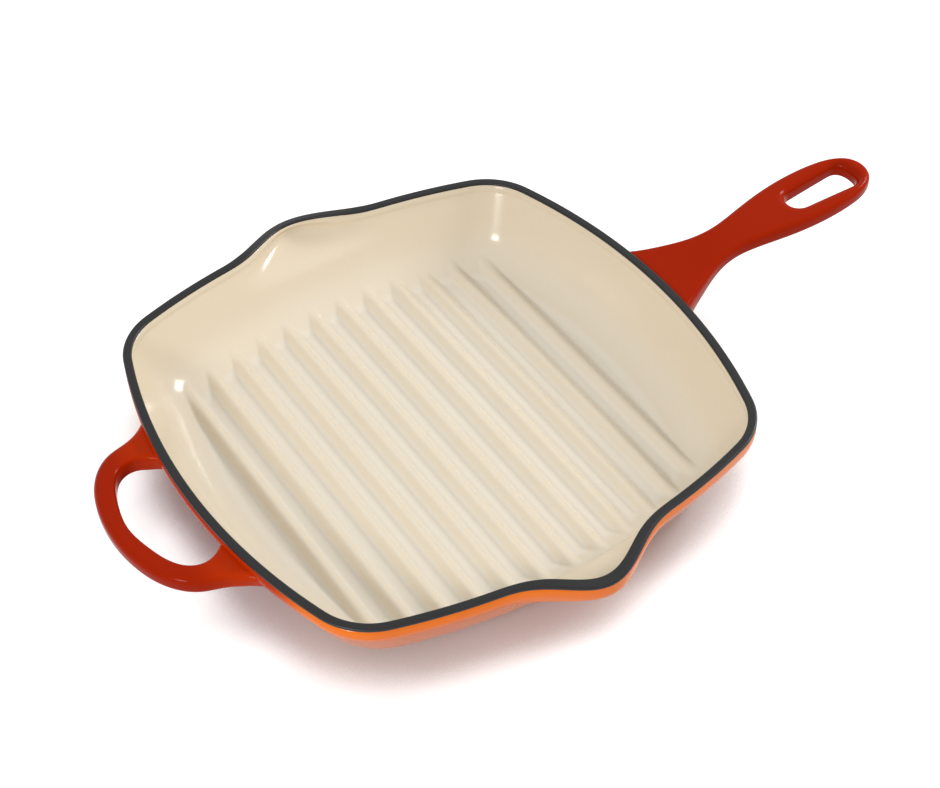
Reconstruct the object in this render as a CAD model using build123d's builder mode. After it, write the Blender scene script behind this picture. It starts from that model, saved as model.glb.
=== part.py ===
from build123d import *
from math import asin, cos, hypot, pi, radians, sin, sqrt, tan
import os

# Enamelled cast-iron grill pan: a square bowl with bowed sides, ribs and two pouring lips, cast in one
# pour with a long handle and a helper handle, and enamelled all over. Millimetres. The origin is the
# centre of the underside, z is zero where the pan stands, +X runs along the long handle and the
# pouring lips are at +Y and -Y.

# Bowl
rim_height = 43.0
rim_half_x = 130.0
rim_half_y = 129.3
side_bow_radius_x = 292.0
side_bow_radius_y = 302.0
rim_corner_radius = 34.8
corner_closing_share = 0.15
wall = 4.3
band_depth = 5.3
band_bend_radius = 6.0
wall_lean = 28.0
hip_radius = 32.0
ground_angle = 80.0
wall_station_shares = (1 / 3, 2 / 3)
hip_station_shares = (0, 0.25, 0.5, 0.75, 0.92, 1)

# Enamel
coat = 0.35
rim_coat_depth = 1.2
rim_edge_radius = 0.9

# Pouring lips
lip_projection = 14.5
lip_half_width = 47.0
lip_sharpness_share = 2.6
lip_inside_projection_loss = 0.9
lip_inside_widening = 5.0
lip_inside_sharpness_share = 4.0
lip_fade_start = 11.0
lip_fade_end = 20.0
lip_point_shares = (1, 0.78, 0.56, 0.36, 0.18, 0, -0.18, -0.36, -0.56, -0.78, -1)
lip_dip = 3.8
lip_dip_inset = 1.3
lip_dip_half_width = 60.0

# Grill ribs
rib_count = 12
rib_pitch = 15.7
rib_height = 3.5
rib_crest_radius = 3.0
rib_flank = 60.0

# Long handle: its outline, top and thickness at shares of the length from its root inside the wall
handle_root_x = 116.0
handle_reach = 259.5
handle_swell_half_width = 17.0
handle_root_drop = 2.9
handle_tip_rise = 12.2
handle_thickness = 8.4
handle_root_thickness = 15.5
handle_edge_radius = 2.9
handle_plan_shares = (
    (0, 2.155), (0.041, 1.84), (0.103, 1.46), (0.206, 1.011), (0.289, 0.718), (0.371, 0.598), (0.454, 0.684),
    (0.557, 0.862), (0.66, 0.977), (0.742, 1), (0.845, 0.943), (0.921, 0.8), (1, 0),
)
handle_rise_shares = ((0, 0), (0.206, 0.24), (0.371, 0.538), (0.619, 0.789), (0.866, 0.942), (1, 1))
handle_thickening_shares = (1, 0.25, 0, 0, 0, 0)
handle_hole_start = 209.0
handle_hole_end = 251.0
handle_hole_narrow_half_width = 6.1
handle_hole_wide_half_width = 8.4
handle_hole_inner_corner_radius = 5.5
handle_hole_corner_radius = 5.0
handle_hole_dish_radius = 2.7
handle_hole_under_radius = 1.0

# Helper handle: a flat bar bent into a bow, open to the wall behind it
helper_root_x = 115.0
helper_reach = 166.5
helper_root_half_length = 70.0
helper_root_drop = 5.2
helper_tip_drop = 2.2
helper_thickness = 9.4
helper_edge_radius = 3.2
helper_plan_shares = (
    (0, 1), (0.136, 0.836), (0.233, 0.764), (0.35, 0.714), (0.485, 0.676), (0.602, 0.646), (0.718, 0.586),
    (0.835, 0.474), (0.948, 0.271), (1, 0),
)
helper_bar_width = 8.2
helper_hole_bow_radius = 54.0
helper_hole_half_length = 37.0
helper_hole_mouth_half_length = 32.0
helper_hole_corner_radius = 7.0
helper_hole_edge_radius = 1.6

# How far a cutting or buried face runs past the face that it has to clear
overrun = 6.0

hip_depth = rim_height - hip_radius * sin(radians(ground_angle))
bend_end_depth = band_depth + band_bend_radius * sin(radians(wall_lean))
bend_end_inset = band_bend_radius * (1 - cos(radians(wall_lean)))
hip_start_depth = hip_depth + hip_radius * sin(radians(wall_lean))
hip_start_inset = bend_end_inset + (hip_start_depth - bend_end_depth) * tan(radians(wall_lean))
hip_inset = hip_start_inset + hip_radius * cos(radians(wall_lean))


def stations(under):
    """Slope, depth and inset of the surface that lies `under` beneath the outside, from rim to base."""
    lean = radians(wall_lean)
    bend = band_bend_radius - under
    hip = hip_radius - under
    ground = asin((rim_height - under - hip_depth) / hip)
    bend_slopes = (0, lean / 2, lean)
    hip_slopes = [lean + share * (ground - lean) for share in hip_station_shares]
    bends = []
    for slope in bend_slopes:
        bends.append((slope, band_depth + bend * sin(slope), band_bend_radius - bend * cos(slope)))
    hips = [(slope, hip_depth + hip * sin(slope), hip_inset - hip * cos(slope)) for slope in hip_slopes]
    run = [after - before for before, after in zip(bends[-1], hips[0])]
    walls = [tuple(at + share * step for at, step in zip(bends[-1], run)) for share in wall_station_shares]
    return bends + walls + hips


def lip_fade(depth):
    """Share of the lip that is left at a depth below the rim."""
    share = min(max((depth - lip_fade_start) / (lip_fade_end - lip_fade_start), 0), 1)
    return cos(share * pi / 2) ** 2


def draw_bowl_outline(slope, depth, inset, under):
    """Closed outline of the surface that lies `under` beneath the outside, at one station."""
    half_x = rim_half_x - inset
    half_y = rim_half_y - inset
    bow_x = side_bow_radius_x - inset
    bow_y = side_bow_radius_y - inset
    outer_inset = inset - under * cos(slope)
    corner = rim_corner_radius - under * cos(slope) - corner_closing_share * outer_inset
    # The corner arc touches both bowed sides, whose centres lie behind the middle of the bowl
    centre_x = Vector(half_x - bow_x, 0)
    centre_y = Vector(0, half_y - bow_y)
    apart = (centre_y - centre_x).length
    towards = (centre_y - centre_x).normalized()
    outwards = Vector(-towards.Y, towards.X)
    along = ((bow_x - corner) ** 2 - (bow_y - corner) ** 2 + apart**2) / (2 * apart)
    across = sqrt((bow_x - corner) ** 2 - along**2)
    centre = centre_x + towards * along + outwards * across
    to_side = (centre - centre_x).normalized()
    to_lip = (centre - centre_y).normalized()
    side_end = centre + to_side * corner
    lip_end = centre + to_lip * corner
    middle = centre + (to_side + to_lip).normalized() * corner
    # The lip swells smoothly out of the bowed side
    inside_share = under / wall
    projection = lip_projection - inside_share * lip_inside_projection_loss
    half_width = lip_half_width + inside_share * lip_inside_widening
    sharpness_share = lip_sharpness_share + inside_share * (lip_inside_sharpness_share - lip_sharpness_share)
    left = lip_fade(depth + under * sin(slope)) * (projection + outer_inset)
    swell = []
    for share in lip_point_shares:
        x = share * half_width
        height = left * max(cos(share * pi / 2), 0) ** sharpness_share
        swell.append((x, sqrt(bow_y**2 - x**2) + centre_y.Y + height))
    points = [(lip_end.X, lip_end.Y)] + swell + [(-lip_end.X, lip_end.Y)]
    start = (centre_y.Y - lip_end.Y, lip_end.X)
    finish = (centre_y.Y - lip_end.Y, -lip_end.X)
    for turn in (1, -1):
        ThreePointArc(
            (turn * side_end.X, -turn * side_end.Y),
            (turn * half_x, 0),
            (turn * side_end.X, turn * side_end.Y),
        )
        ThreePointArc(
            (turn * side_end.X, turn * side_end.Y),
            (turn * middle.X, turn * middle.Y),
            (turn * lip_end.X, turn * lip_end.Y),
        )
        Spline(
            [(turn * x, turn * y) for x, y in points],
            tangents=[(turn * start[0], turn * start[1]), (turn * finish[0], turn * finish[1])],
        )
        ThreePointArc(
            (-turn * lip_end.X, turn * lip_end.Y),
            (-turn * middle.X, turn * middle.Y),
            (-turn * side_end.X, turn * side_end.Y),
        )


def bowl_form(under):
    """Solid within the surface that lies `under` beneath the outside, running up past the rim."""
    places = stations(under)
    with BuildPart() as form:
        with BuildSketch(Plane.XY.offset(rim_height - band_depth)):
            with BuildLine():
                draw_bowl_outline(*places[0], under)
            make_face()
        extrude(amount=band_depth + overrun)
        for slope, depth, inset in places:
            with BuildSketch(Plane.XY.offset(rim_height - depth)):
                with BuildLine():
                    draw_bowl_outline(slope, depth, inset, under)
                make_face()
        loft()
    return form.part


def space_above_rim(drop):
    """All that lies above the rim's top surface lowered by `drop`: level, but dipping at the lips."""
    level = rim_height - drop
    ceiling = rim_height + 2 * overrun
    dip_start = rim_half_y - lip_dip_inset
    lip_tip = rim_half_y + lip_projection
    side = rim_half_x + overrun
    with BuildPart() as space:
        with BuildSketch(Plane.XY.offset(level)):
            Rectangle(2 * side, 2 * dip_start)
        extrude(amount=ceiling - level)
        for turn in (1, -1):
            for reach in (dip_start, lip_tip + overrun):
                dip = lip_dip * (reach - dip_start) / (lip_tip - dip_start)
                half = lip_dip_half_width
                bell = [(share * half, level - dip * cos(share * pi / 2) ** 2) for share in lip_point_shares]
                with BuildSketch(Plane.XZ.offset(-turn * reach)):
                    with BuildLine():
                        Polyline((-half, level), (-side, level), (-side, ceiling))
                        Polyline((-side, ceiling), (side, ceiling), (side, level), (half, level))
                        Spline(bell, tangents=[(-1, 0), (-1, 0)])
                    make_face()
            loft(ruled=True)
    return space.part


def rib_bars(under):
    """Bars with the ribs' section, `under` beneath their surface, long enough to run into both walls."""
    crest = rib_crest_radius - under
    crest_height = wall + rib_height - rib_crest_radius
    lean = radians(90 - rib_flank)
    floor = wall - under - coat
    shoulder = (crest * cos(lean), crest_height + crest * sin(lean))
    foot = shoulder[0] + (shoulder[1] - floor) * tan(lean)
    with BuildPart() as bars:
        for number in range(rib_count):
            x = (number - (rib_count - 1) / 2) * rib_pitch
            with BuildSketch(Plane.XZ.shift_origin((x, 0, 0))):
                with BuildLine():
                    ThreePointArc((-shoulder[0], shoulder[1]), (0, crest_height + crest), shoulder)
                    Polyline(shoulder, (foot, floor), (-foot, floor), (-shoulder[0], shoulder[1]))
                make_face()
            extrude(amount=rim_half_y, both=True)
    return bars.part


def ribbed_form(smooth_form, under):
    """The form that fills the bowl down to the surface `under` beneath the outside, less the ribs' bars."""
    with BuildPart() as form:
        add(smooth_form)
        add(rib_bars(wall - under), mode=Mode.SUBTRACT)
    return form.part


def shell_between(outer, inner, *outwards):
    """Shell between two forms, the inner one inside the outer, open at the flat ends that face `outwards`."""
    faces = outer.faces() + inner.faces()
    for axis in outwards:
        outer_ends = outer.faces().group_by(axis)[-1].sort_by(Axis.Y)
        inner_ends = inner.faces().group_by(axis)[-1].sort_by(Axis.Y)
        faces = faces - outer_ends - inner_ends
        faces += [Face(end.outer_wire(), [hole.outer_wire()]) for end, hole in zip(outer_ends, inner_ends)]
    return Solid(Shell(faces))


def drawn_in(points, under):
    """Points of a handle's outline moved inwards, square to the line between their neighbours."""
    before_points = points[:1] + points[:-1]
    after_points = points[1:] + [(points[-2][0], -points[-2][1])]
    moved = []
    for (x, y), before, after in zip(points, before_points, after_points):
        run = hypot(after[0] - before[0], after[1] - before[1])
        moved.append((x + under * (after[1] - before[1]) / run, y - under * (after[0] - before[0]) / run))
    return moved


def handle_blank(plan, top, bottom):
    """Handle drawn from above and from the side, before its edges are rounded."""
    start = (plan[1][0] - plan[0][0], plan[1][1] - plan[0][1])
    with BuildPart() as blank:
        with BuildSketch():
            with BuildLine():
                Spline(plan, tangents=[start, (0, -1)])
                mirror(about=Plane.XZ)
                Line((plan[0][0], -plan[0][1]), plan[0])
            make_face()
        extrude(amount=rim_height + handle_tip_rise + overrun)
        with BuildSketch(Plane.XZ.offset(-rim_half_y)):
            with BuildLine():
                draw_run = Spline if len(top) > 2 else Polyline
                draw_run(*top)
                Line(top[-1], bottom[-1])
                draw_run(*bottom)
                Line(bottom[0], top[0])
            make_face()
        extrude(amount=2 * rim_half_y, mode=Mode.INTERSECT)
    return blank.part


def long_handle_form(under):
    """Long handle within the surface `under` beneath its outside, from inside the wall to the tip."""
    length = handle_reach - handle_root_x
    rise = handle_tip_rise + handle_root_drop
    root_top = rim_height - handle_root_drop - under
    thickness = handle_thickness - 2 * under
    thickening = handle_root_thickness - handle_thickness
    widest = handle_swell_half_width
    plan = [(handle_root_x + at * length, share * widest) for at, share in handle_plan_shares]
    top = [(handle_root_x + at * length, root_top + share * rise) for at, share in handle_rise_shares]
    bottom = [(x, z - thickness - share * thickening) for (x, z), share in zip(top, handle_thickening_shares)]
    narrow = handle_hole_narrow_half_width
    wide = handle_hole_wide_half_width
    with BuildPart() as form:
        add(handle_blank(drawn_in(plan, under), top, bottom))
        root = form.faces().sort_by(Axis.X)[0]
        fillet(form.edges() - root.edges(), handle_edge_radius - under)
        with BuildSketch() as hole:
            with BuildLine():
                Polyline(
                    (handle_hole_start, -narrow),
                    (handle_hole_end, -wide),
                    (handle_hole_end, wide),
                    (handle_hole_start, narrow),
                    close=True,
                )
            make_face()
            fillet(hole.vertices().group_by(Axis.X)[0], handle_hole_inner_corner_radius)
            fillet(hole.vertices().group_by(Axis.X)[-1], handle_hole_corner_radius)
            offset(amount=under)
        extrude(amount=rim_height + handle_tip_rise + overrun, mode=Mode.SUBTRACT)
        mouths = form.edges(Select.LAST).filter_by(Axis.Z, reverse=True).sort_by(Axis.Z)
        half = len(mouths) // 2
        fillet(mouths[half:], handle_hole_dish_radius - under)
        fillet(mouths[:half], handle_hole_under_radius - under)
    return form.part


def helper_handle_form(under):
    """Helper handle within the surface `under` beneath its outside, from inside the wall to the bow."""
    length = helper_reach - helper_root_x
    half_root = helper_root_half_length
    thickness = helper_thickness - 2 * under
    plan = [(helper_root_x + at * length, share * half_root) for at, share in helper_plan_shares]
    root_top = rim_height - helper_root_drop - under
    tip_top = rim_height - helper_tip_drop - under
    top = [(-helper_root_x, root_top), (-helper_reach, tip_top)]
    bottom = [(x, z - thickness) for x, z in top]
    bow_x = helper_reach - helper_bar_width + under
    bow_radius = helper_hole_bow_radius + under
    half_length = helper_hole_half_length + under
    mouth = helper_hole_mouth_half_length + under
    bow_end_x = bow_x - bow_radius + sqrt(bow_radius**2 - half_length**2)
    inside_x = helper_root_x - overrun
    with BuildPart() as form:
        add(handle_blank([(-x, y) for x, y in drawn_in(plan, under)], top, bottom))
        root = form.faces().sort_by(Axis.X)[-1]
        fillet(form.edges() - root.edges(), helper_edge_radius - under)
        with BuildSketch() as hole:
            with BuildLine():
                ThreePointArc((-bow_end_x, -half_length), (-bow_x, 0), (-bow_end_x, half_length))
                Polyline((-bow_end_x, half_length), (-rim_half_x, mouth), (-inside_x, mouth))
                Polyline((-inside_x, mouth), (-inside_x, -mouth))
                Polyline((-inside_x, -mouth), (-rim_half_x, -mouth), (-bow_end_x, -half_length))
            make_face()
            fillet(hole.vertices().group_by(Axis.X)[0], helper_hole_corner_radius + under)
        extrude(amount=rim_height, mode=Mode.SUBTRACT)
        mouths = form.edges(Select.LAST).filter_by(Axis.Z, reverse=True)
        fillet(mouths - form.faces().group_by(Axis.X)[-1].edges(), helper_hole_edge_radius - under)
    return form.part


def top_edges(ring):
    """Edges along both sides of a rim's top surface."""
    tops = ring.faces().filter_by(lambda face: face.normal_at(face.center()).Z > 0.5)
    bottoms = ring.faces().filter_by(lambda face: face.normal_at(face.center()).Z < -0.5)
    return tops.edges() - bottoms.edges()


# Surfaces of the bowl, from the outside to the inside
outside = bowl_form(0)
iron_outside = bowl_form(coat)
iron_inside = bowl_form(wall - coat)
inside = bowl_form(wall)
iron_cavity = ribbed_form(iron_inside, wall - coat)
cavity = ribbed_form(inside, wall)
above_rim = space_above_rim(0)
above_iron_rim = space_above_rim(coat)
above_side_enamel = space_above_rim(rim_coat_depth)

# Handles as poured, running through the wall's enamel into the iron of the bowl
long_handle_core = long_handle_form(coat)
helper_handle_core = helper_handle_form(coat)

# Top of the iron wall, where the black enamel wraps it, with both its edges rounded
with BuildPart() as iron_rim:
    add(shell_between(iron_outside, iron_inside, Axis.Z))
    add(above_iron_rim, mode=Mode.SUBTRACT)
    add(above_side_enamel, mode=Mode.INTERSECT)
    fillet(top_edges(iron_rim), rim_edge_radius - coat)

# Iron: one pour on the real pan, held here as its bowl and its two handles
with BuildPart() as bowl_casting:
    add(shell_between(iron_outside, iron_cavity, Axis.Z))
    add(above_side_enamel, mode=Mode.SUBTRACT)
    add(iron_rim.part)
bowl_casting.part.label = "bowl_casting"

with BuildPart() as long_handle_casting:
    add(long_handle_core)
    add(iron_outside, mode=Mode.SUBTRACT)
long_handle_casting.part.label = "long_handle_casting"

with BuildPart() as helper_handle_casting:
    add(helper_handle_core)
    add(iron_outside, mode=Mode.SUBTRACT)
helper_handle_casting.part.label = "helper_handle_casting"

# Coloured enamel on the outside of the bowl and round both handles
with BuildPart() as outside_above_base:
    add(outside)
    split(bisect_by=Plane.XY.offset(coat), keep=Keep.TOP)

with BuildPart() as outer_enamel:
    add(shell_between(outside_above_base.part, iron_outside, Axis.Z, -Axis.Z))
    add(above_side_enamel, mode=Mode.SUBTRACT)
    add(long_handle_core, mode=Mode.SUBTRACT)
    add(helper_handle_core, mode=Mode.SUBTRACT)
outer_enamel.part.label = "outer_enamel"

with BuildPart() as long_handle_enamel:
    add(shell_between(long_handle_form(0), long_handle_core, -Axis.X))
    add(outside, mode=Mode.SUBTRACT)
long_handle_enamel.part.label = "long_handle_enamel"

with BuildPart() as helper_handle_enamel:
    add(shell_between(helper_handle_form(0), helper_handle_core, Axis.X))
    add(outside, mode=Mode.SUBTRACT)
helper_handle_enamel.part.label = "helper_handle_enamel"

# Pale enamel on the cooking side
with BuildPart() as inner_enamel:
    add(shell_between(iron_cavity, cavity, Axis.Z))
    add(above_side_enamel, mode=Mode.SUBTRACT)
inner_enamel.part.label = "inner_enamel"

# Black enamel that caps the rim, with both its top edges rounded
with BuildPart() as rim_enamel:
    add(shell_between(outside, inside, Axis.Z))
    add(above_rim, mode=Mode.SUBTRACT)
    add(above_side_enamel, mode=Mode.INTERSECT)
    fillet(top_edges(rim_enamel), rim_edge_radius)
    add(iron_rim.part, mode=Mode.SUBTRACT)
rim_enamel.part.label = "rim_enamel"

# Enamel under the base, on which the pan stands
with BuildPart() as base_enamel:
    add(outside)
    split(bisect_by=Plane.XY.offset(coat), keep=Keep.BOTTOM)
base_enamel.part.label = "base_enamel"

os.makedirs("parts", exist_ok=True)
pieces = (
    bowl_casting,
    long_handle_casting,
    helper_handle_casting,
    outer_enamel,
    long_handle_enamel,
    helper_handle_enamel,
    inner_enamel,
    rim_enamel,
    base_enamel,
)
for piece in pieces:
    export_step(piece.part, "parts/" + piece.part.label + ".step")
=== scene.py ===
"""Looks of an enamelled cast-iron grill pan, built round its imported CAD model.

The bowl's skins are drawn through rings that follow the same outlines as the CAD model, the ribbed floor
is a grid raised to the ribs' section, and the handles are grids laid through half sections and mirrored.
Sizes are in millimetres until a mesh is finished, the finishes and the studio are in metres, and +X runs
along the long handle.
"""

import functools
import logging
import math
import operator
from dataclasses import dataclass, field
from enum import Enum
from typing import Callable, Iterable, Sequence

import bmesh
import bpy
import numpy as np
from mathutils import Matrix, Vector


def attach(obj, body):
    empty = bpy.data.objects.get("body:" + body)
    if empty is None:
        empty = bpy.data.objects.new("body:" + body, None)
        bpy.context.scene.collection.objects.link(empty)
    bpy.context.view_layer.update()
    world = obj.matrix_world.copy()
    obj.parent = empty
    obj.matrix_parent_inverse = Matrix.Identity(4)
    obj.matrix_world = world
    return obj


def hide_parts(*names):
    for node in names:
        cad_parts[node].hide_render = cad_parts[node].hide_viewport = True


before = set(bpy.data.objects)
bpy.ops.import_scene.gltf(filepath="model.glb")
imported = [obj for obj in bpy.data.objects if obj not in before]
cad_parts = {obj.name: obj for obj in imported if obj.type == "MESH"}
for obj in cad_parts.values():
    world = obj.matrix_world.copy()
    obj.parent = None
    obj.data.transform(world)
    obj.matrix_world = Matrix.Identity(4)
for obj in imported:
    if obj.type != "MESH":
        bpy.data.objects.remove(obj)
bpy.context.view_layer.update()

log = logging.getLogger("grill_pan")
MM = 0.001
BODY = "root"
MERGE = 1e-4
CURVE_POINTS = 1200
HALVINGS = 28
NOISE_MIDDLE = 0.5
ONE_LAYER, SOME_LAYERS, MANY_LAYERS = 1.0, 2.0, 3.0
Colour = tuple[float, float, float]
Place = tuple[float, float, float]
Span = tuple[float, float]
Pair = tuple[np.ndarray, np.ndarray]
Line = Sequence[tuple[float, float]]
WHITE: Colour = (1.0, 1.0, 1.0)
BLACK: Colour = (0.0, 0.0, 0.0)


class Slot(Enum):
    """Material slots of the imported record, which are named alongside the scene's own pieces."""

    IRON = "iron"
    FLAME = "flame_enamel"
    CREAM = "cream_enamel"
    BLACK = "black_enamel"


class Sock:
    """An output socket of a shader tree that takes part in Python expressions."""

    def __init__(self, graph: "Graph", socket: bpy.types.NodeSocket) -> None:
        """Wrap a socket.

        Args:
            graph: the shader graph that the socket belongs to.
            socket: the output socket.
        """
        self.graph = graph
        self.socket = socket

    def other(self, output: str | int) -> "Sock":
        """Another output of the same node, by name or index."""
        return Sock(self.graph, self.socket.node.outputs[output])

    def _math(self, operation: str, first: "Sock | float", second: "Sock | float") -> "Sock":
        """Add one Math node."""
        return self.graph.add("ShaderNodeMath", {"operation": operation}, {0: first, 1: second})

    def __add__(self, other: "Sock | float") -> "Sock":
        """Sum."""
        return self._math("ADD", self, other)

    __radd__ = __add__

    def __sub__(self, other: "Sock | float") -> "Sock":
        """Difference."""
        return self._math("SUBTRACT", self, other)

    def __rsub__(self, other: float) -> "Sock":
        """Difference from a number."""
        return self._math("SUBTRACT", other, self)

    def __mul__(self, other: "Sock | float") -> "Sock":
        """Product."""
        return self._math("MULTIPLY", self, other)

    __rmul__ = __mul__

    def __abs__(self) -> "Sock":
        """Size without sign."""
        return self._math("ABSOLUTE", self, 0.0)

    def __or__(self, other: "Sock | float") -> "Sock":
        """Larger of the two."""
        return self._math("MAXIMUM", self, other)

    __ror__ = __or__

    def rise(self, low: float, high: float) -> "Sock":
        """Smooth rise from 0 at low to 1 at high.

        Args:
            low: value where the rise starts.
            high: value where it ends; it may be the smaller one, for a fall.
        Returns:
            The share as a socket.
        """
        settings = {"interpolation_type": "SMOOTHSTEP"}
        values = {"Value": self, "From Min": low, "From Max": high, "To Min": 0.0, "To Max": 1.0}
        return self.graph.add("ShaderNodeMapRange", settings, values)


class Graph:
    """The node tree of one material or world, whose lengths are in metres."""

    def __init__(self, owner: bpy.types.Material | bpy.types.World) -> None:
        """Empty the owner's tree and keep it.

        Args:
            owner: the material or world whose nodes are built.
        """
        owner.use_nodes = True
        self.tree = owner.node_tree
        self.tree.nodes.clear()

    def add(self, kind: str, settings: dict | None = None, values: dict | None = None,
            output: str | int = 0) -> Sock:
        """Add a node.

        Args:
            kind: the node's type.
            settings: properties set before the sockets.
            values: numbers, colours or sockets for the inputs, by name or index.
            output: name or index of the output that is returned.
        Returns:
            The wrapped output.
        """
        node = self.tree.nodes.new(kind)
        for name, value in (settings or {}).items():
            setattr(node, name, value)
        for key, value in (values or {}).items():
            target = node.inputs[key]
            if isinstance(value, Sock):
                self.tree.links.new(value.socket, target)
            elif isinstance(value, tuple) and len(value) == 3 and target.type == "RGBA":
                target.default_value = (*value, 1.0)
            else:
                target.default_value = value
        return Sock(self, node.outputs[output]) if node.outputs else Sock(self, None)

    def place(self) -> Sock:
        """Object coordinates in metres."""
        return self.add("ShaderNodeTexCoord", output="Object")

    def axes(self) -> tuple[Sock, Sock, Sock]:
        """X, Y and Z of the object coordinates."""
        x = self.add("ShaderNodeSeparateXYZ", values={0: self.place()})
        return x, x.other("Y"), x.other("Z")

    def seen_by(self, *rays: str) -> Sock:
        """Whether a ray is of one of the kinds that are named."""
        path = self.add("ShaderNodeLightPath")
        return functools.reduce(operator.or_, (path.other(ray) for ray in rays))

    def noise(self, size: float, detail: float = SOME_LAYERS) -> Sock:
        """Noise from 0 to 1, with features of a size in metres and a number of finer layers."""
        values = {"Vector": self.place(), "Scale": 1.0 / size, "Detail": detail}
        return self.add("ShaderNodeTexNoise", {}, values, "Fac")

    def mix(self, share: Sock | float, first: Sock | Colour, second: Sock | Colour) -> Sock:
        """Mix of two colours, of which the second has the share."""
        return self.add("ShaderNodeMix", {"data_type": "RGBA"}, {0: share, 6: first, 7: second}, 2)

    def bump(self, height: Sock, distance: float) -> Sock:
        """Normal bent by a height, of which 1 stands for a distance in metres."""
        return self.add("ShaderNodeBump", values={"Height": height, "Distance": distance})

    def finish(self, values: dict) -> None:
        """Close a material's tree with a Principled shader that has the given inputs."""
        shader = self.add("ShaderNodeBsdfPrincipled", values=values)
        self.add("ShaderNodeOutputMaterial", values={"Surface": shader})


@dataclass(frozen=True)
class FlameEnamel:
    """Glossy enamel that is deep red-orange on the handles and turns bright orange along the walls, with a
    painted reflection of the white floor that makes the wall paler low down and towards +X.
    """

    name: str = "flame enamel"
    deep: Colour = (0.330, 0.014, 0.0)
    rich: Colour = (0.480, 0.030, 0.0)
    bright: Colour = (0.870, 0.190, 0.012)
    # pale is a painted reflection of the white floor, mixed into the lower wall and the +X side
    pale: Colour = (0.900, 0.440, 0.300)
    deepening: float = 0.1
    roughness: float = 0.16
    gloss: float = 0.055
    wall_coat: float = 0.3
    coat_roughness: float = 0.06
    ripple: float = 0.00004
    drift_size: float = 0.055
    fine_size: float = 0.004
    coarse_ripple_size: float = 0.009
    fine_ripple_size: float = 0.0016
    # Spans over which the enamel turns deep, behind each handle and on it
    behind_long_x: Span = (0.095, 0.118)
    behind_long_y: Span = (0.072, 0.040)
    behind_helper_x: Span = (-0.100, -0.118)
    behind_helper_y: Span = (0.090, 0.062)
    long_handle_x: Span = (0.120, 0.138)
    helper_handle_x: Span = (-0.122, -0.135)
    # Spans over which the helper handle's roots turn richer, and over which the wall is painted paler low
    # down and towards +X as a painted reflection of the white floor
    rich_x: Span = (-0.150, -0.128)
    helper_side_x: Span = (0.0, -0.100)
    floor_reflection_paint_z: Span = (0.038, 0.010)
    floor_reflection_paint_x: Span = (0.010, 0.110)
    floor_reflection_paint_z_share: float = 0.55
    floor_reflection_paint_x_share: float = 0.5
    floor_reflection_paint_drift_share: float = 0.3
    drift_share: float = 0.5
    fine_share: float = 0.12
    rough_drift: float = 0.08
    coarse_ripple_share: float = 0.7

    def material(self) -> bpy.types.Material:
        """Build the material.

        Returns:
            The new material.
        """
        material = bpy.data.materials.new(self.name)
        graph = Graph(material)
        x, y, z = graph.axes()
        behind_long = x.rise(*self.behind_long_x) * abs(y).rise(*self.behind_long_y)
        behind_helper = x.rise(*self.behind_helper_x) * abs(y).rise(*self.behind_helper_y)
        deep = behind_long | behind_helper | x.rise(*self.long_handle_x) | x.rise(*self.helper_handle_x)
        drift = graph.noise(self.drift_size, MANY_LAYERS) - NOISE_MIDDLE
        fine = graph.noise(self.fine_size) - NOISE_MIDDLE
        # Painted reflection of the white floor: the wall is mixed towards pale low down and towards +X
        low = z.rise(*self.floor_reflection_paint_z) * self.floor_reflection_paint_z_share
        right = x.rise(*self.floor_reflection_paint_x) * self.floor_reflection_paint_x_share
        wall = graph.mix(low + right + drift * self.floor_reflection_paint_drift_share, self.bright, self.pale)
        rich = x.rise(*self.rich_x) * x.rise(*self.helper_side_x)
        body = graph.mix(deep, wall, graph.mix(rich, self.deep, self.rich))
        deepening = drift * self.drift_share + fine * self.fine_share + self.deepening
        coarse = graph.noise(self.coarse_ripple_size) * self.coarse_ripple_share
        height = coarse + graph.noise(self.fine_ripple_size, ONE_LAYER) * (1.0 - self.coarse_ripple_share)
        graph.finish({
            "Base Color": graph.mix(deepening, body, self.deep),
            "Roughness": self.roughness + drift * self.rough_drift,
            "Specular IOR Level": self.gloss,
            "Coat Weight": (1.0 - deep) * self.wall_coat,
            "Coat Roughness": self.coat_roughness,
            "Normal": graph.bump(height, self.ripple),
        })
        return material


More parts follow.
